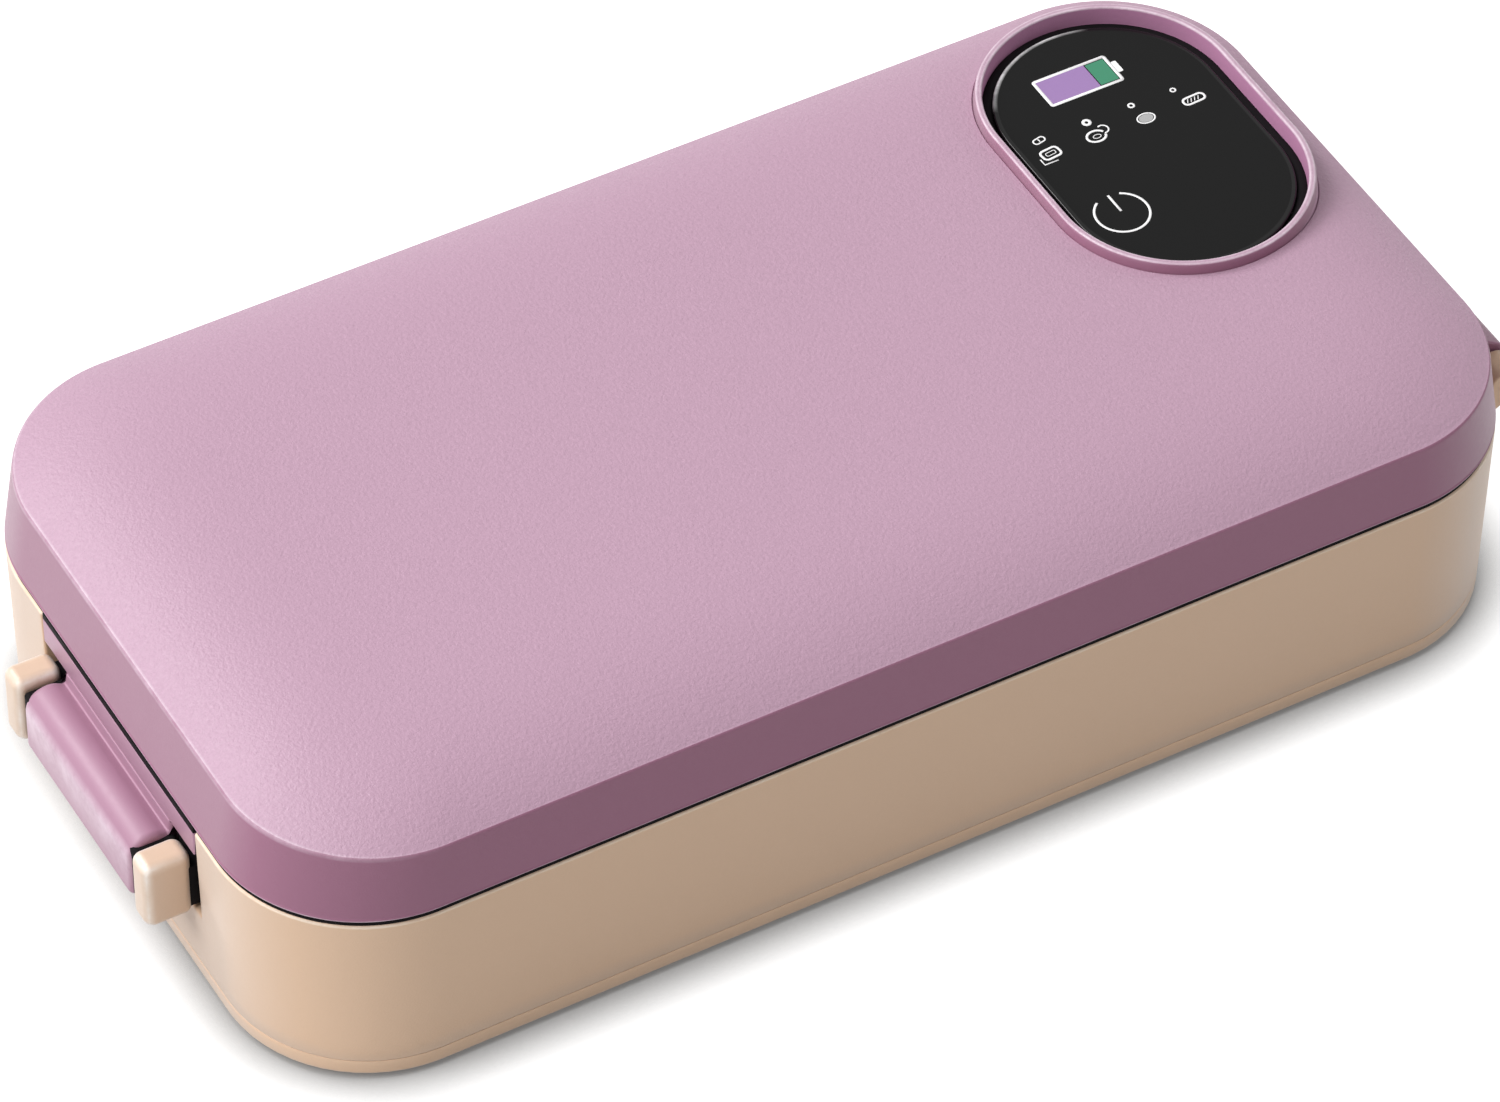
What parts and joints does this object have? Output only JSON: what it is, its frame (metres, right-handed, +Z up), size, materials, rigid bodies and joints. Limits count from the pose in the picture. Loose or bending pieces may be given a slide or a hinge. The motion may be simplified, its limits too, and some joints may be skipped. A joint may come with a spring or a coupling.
{
  "type": "electric lunch box",
  "caption": "Slim rechargeable heated lunch box with a hinged pillow-topped lid, end latch, steel food tray and a stadium-shaped touch display.",
  "frame": {"origin": "middle of the footprint, on the plane that the feet stand on", "axes": "+X along the length towards the hinged, display end; -X the latch end; +Y towards the charging inlet's long side; +Z up"},
  "size_m": [0.256, 0.1256, 0.0607],
  "materials": {
    "lid_plastic": "soft-touch matte mauve",
    "base_plastic": "soft-touch matte beige",
    "inner_plastic": "fine satin off-white",
    "dark_plastic": "matt black moulded",
    "window_black": "smooth black acrylic",
    "mask_white": "opaque white",
    "silicone": "translucent grey silicone",
    "foot_rubber": "matt rubber",
    "steel": "satin stainless",
    "bright_steel": "plated steel",
    "aluminium": "rolled plate",
    "contact_gold": "gold-plated",
    "heater_foil": "polyimide film",
    "felt": "pressed fibre pad",
    "foam": "expanded foam",
    "cell_wrap": "shrink sleeve",
    "board_green": "solder-masked laminate",
    "lead_red": "flat silicone lead"
  },
  "bodies": {
    "base": {"base_shell": "base_plastic", "bottom_cover": "base_plastic", "bottom_screws": "bright_steel", "feet": "foot_rubber", "base_deck": "inner_plastic", "deck_screws": "bright_steel", "food_tray": "steel", "heater_plate": "aluminium", "film_heater": "heater_foil", "thermal_cutoff": "inner_plastic", "ntc_sensor": "dark_plastic", "insulation_pad": "felt", "heater_leads": "lead_red", "battery_cells": "cell_wrap", "battery_holder": "dark_plastic", "cell_straps": "bright_steel", "battery_leads": "lead_red", "main_board": "board_green", "board_parts": "dark_plastic", "board_screws": "bright_steel", "charge_port": "bright_steel", "contact_pins": "contact_gold", "latch_bracket": "base_plastic", "bracket_screws": "bright_steel", "latch_pin": "bright_steel", "latch_spring": "bright_steel", "hinge_pins": "bright_steel"},
    "lid": {"lid_shell": "lid_plastic", "lid_liner": "inner_plastic", "lid_seal": "silicone", "lid_insulation": "foam", "lid_screws": "bright_steel", "display_window": "window_black", "window_gasket": "dark_plastic", "light_mask": "mask_white", "touch_spring": "bright_steel", "display_board": "board_green", "display_leds": "mask_white", "display_screws": "bright_steel", "contact_pads": "contact_gold", "display_ribbon": "heater_foil"},
    "latch": {"latch": "lid_plastic"},
    "port_door": {"port_door": "base_plastic"}
  },
  "joints": [
    {"name": "lid_hinge", "type": "hinge", "parent": "base", "child": "lid", "pos_m": [0.124, 0, 0.035], "axis": [0, 1, 0], "range_deg": [0, 105]},
    {"name": "latch_pivot", "type": "hinge", "parent": "base", "child": "latch", "pos_m": [-0.1234, 0, 0.0208], "axis": [0, -1, 0], "range_deg": [0, 65], "stiffness_Nm_per_rad": 0.02, "springref_deg": -17.19},
    {"name": "port_door_pivot", "type": "hinge", "parent": "base", "child": "port_door", "pos_m": [0.084, 0.0615, 0.02805], "axis": [-1, 0, 0], "range_deg": [0, 95]}
  ]
}
